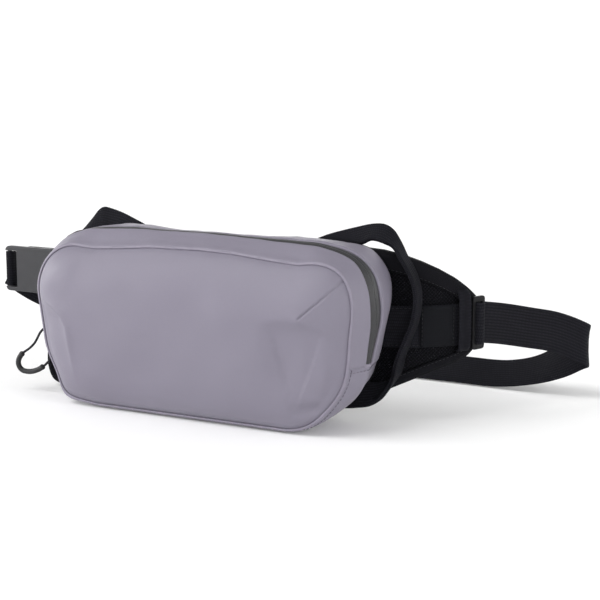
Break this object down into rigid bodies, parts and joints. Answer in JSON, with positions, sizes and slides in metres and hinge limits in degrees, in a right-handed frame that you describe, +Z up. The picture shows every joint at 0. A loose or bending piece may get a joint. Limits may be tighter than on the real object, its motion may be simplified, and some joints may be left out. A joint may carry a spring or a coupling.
{
  "type": "waist pack",
  "caption": "Zipped waist pack: crowned coated-fabric pouch, padded winged back, webbing belt, slide buckle, grab handles and cord zip pull.",
  "frame": {"origin": "middle of the pouch's flat base, on the surface it stands on", "axes": "+X to the right seen from the front, +Y towards the wearer, +Z up"},
  "size_m": [0.5471, 0.2552, 0.1533],
  "materials": {
    "coated_fabric": "matte coated",
    "zipper_tape": "satin",
    "slider_metal": "satin",
    "cord": "braided",
    "grip": "satin",
    "lining": "matte",
    "binding_tape": "matte",
    "back_fabric": "matte",
    "stiffener": "matte",
    "foam": "matte",
    "spacer_mesh": "open mesh",
    "webbing": "woven",
    "smooth_patch": "satin",
    "buckle_plastic": "fine grain",
    "magnet": "bright"
  },
  "bodies": {
    "pack": {"back_foam": "foam", "back_mesh": "spacer_mesh", "back_sheet": "back_fabric", "back_stiffener": "stiffener", "belt": "webbing", "belt_adjuster": "buckle_plastic", "bottom_gusset": "coated_fabric", "buckle_strap": "webbing", "buckle_tray": "buckle_plastic", "front_gusset": "coated_fabric", "front_panel": "coated_fabric", "front_welt": "coated_fabric", "handle_left": "webbing", "handle_right": "webbing", "keeper": "webbing", "lining": "lining", "rear_binding": "binding_tape", "rear_gusset": "coated_fabric", "tray_magnets": "magnet", "wing_binding_left": "binding_tape", "wing_binding_right": "binding_tape", "wing_face_left": "back_fabric", "wing_face_right": "back_fabric", "wing_foam_left": "foam", "wing_foam_right": "foam", "wing_mesh_left": "spacer_mesh", "wing_mesh_right": "spacer_mesh", "wing_patch": "smooth_patch", "wing_strap_left": "webbing", "wing_strap_right": "webbing", "zip_end_patch_left": "coated_fabric", "zip_end_patch_right": "coated_fabric", "zipper_coil": "zipper_tape", "zipper_tape_front": "zipper_tape", "zipper_tape_rear": "zipper_tape"},
    "slider": {"zipper_slider": "slider_metal"},
    "pull": {"pull_cord": "cord", "pull_grip": "grip"},
    "buckle_half": {"buckle_cover": "buckle_plastic", "cover_magnets": "magnet", "belt_end_loop": "webbing"}
  },
  "joints": [
    {"name": "zip_slide", "type": "slide", "parent": "pack", "child": "slider", "axis": [-0.1868, 0, 0.9824], "range_m": [0, 0.022]},
    {"name": "zip_pull_swing", "type": "hinge", "parent": "slider", "child": "pull", "pos_m": [-0.14865, -0.006, 0.05608], "axis": [0, 1, 0], "range_deg": [-6, 120]},
    {"name": "buckle_release", "type": "slide", "parent": "pack", "child": "buckle_half", "axis": [0, 0, 1], "range_m": [0, 0.024]}
  ]
}
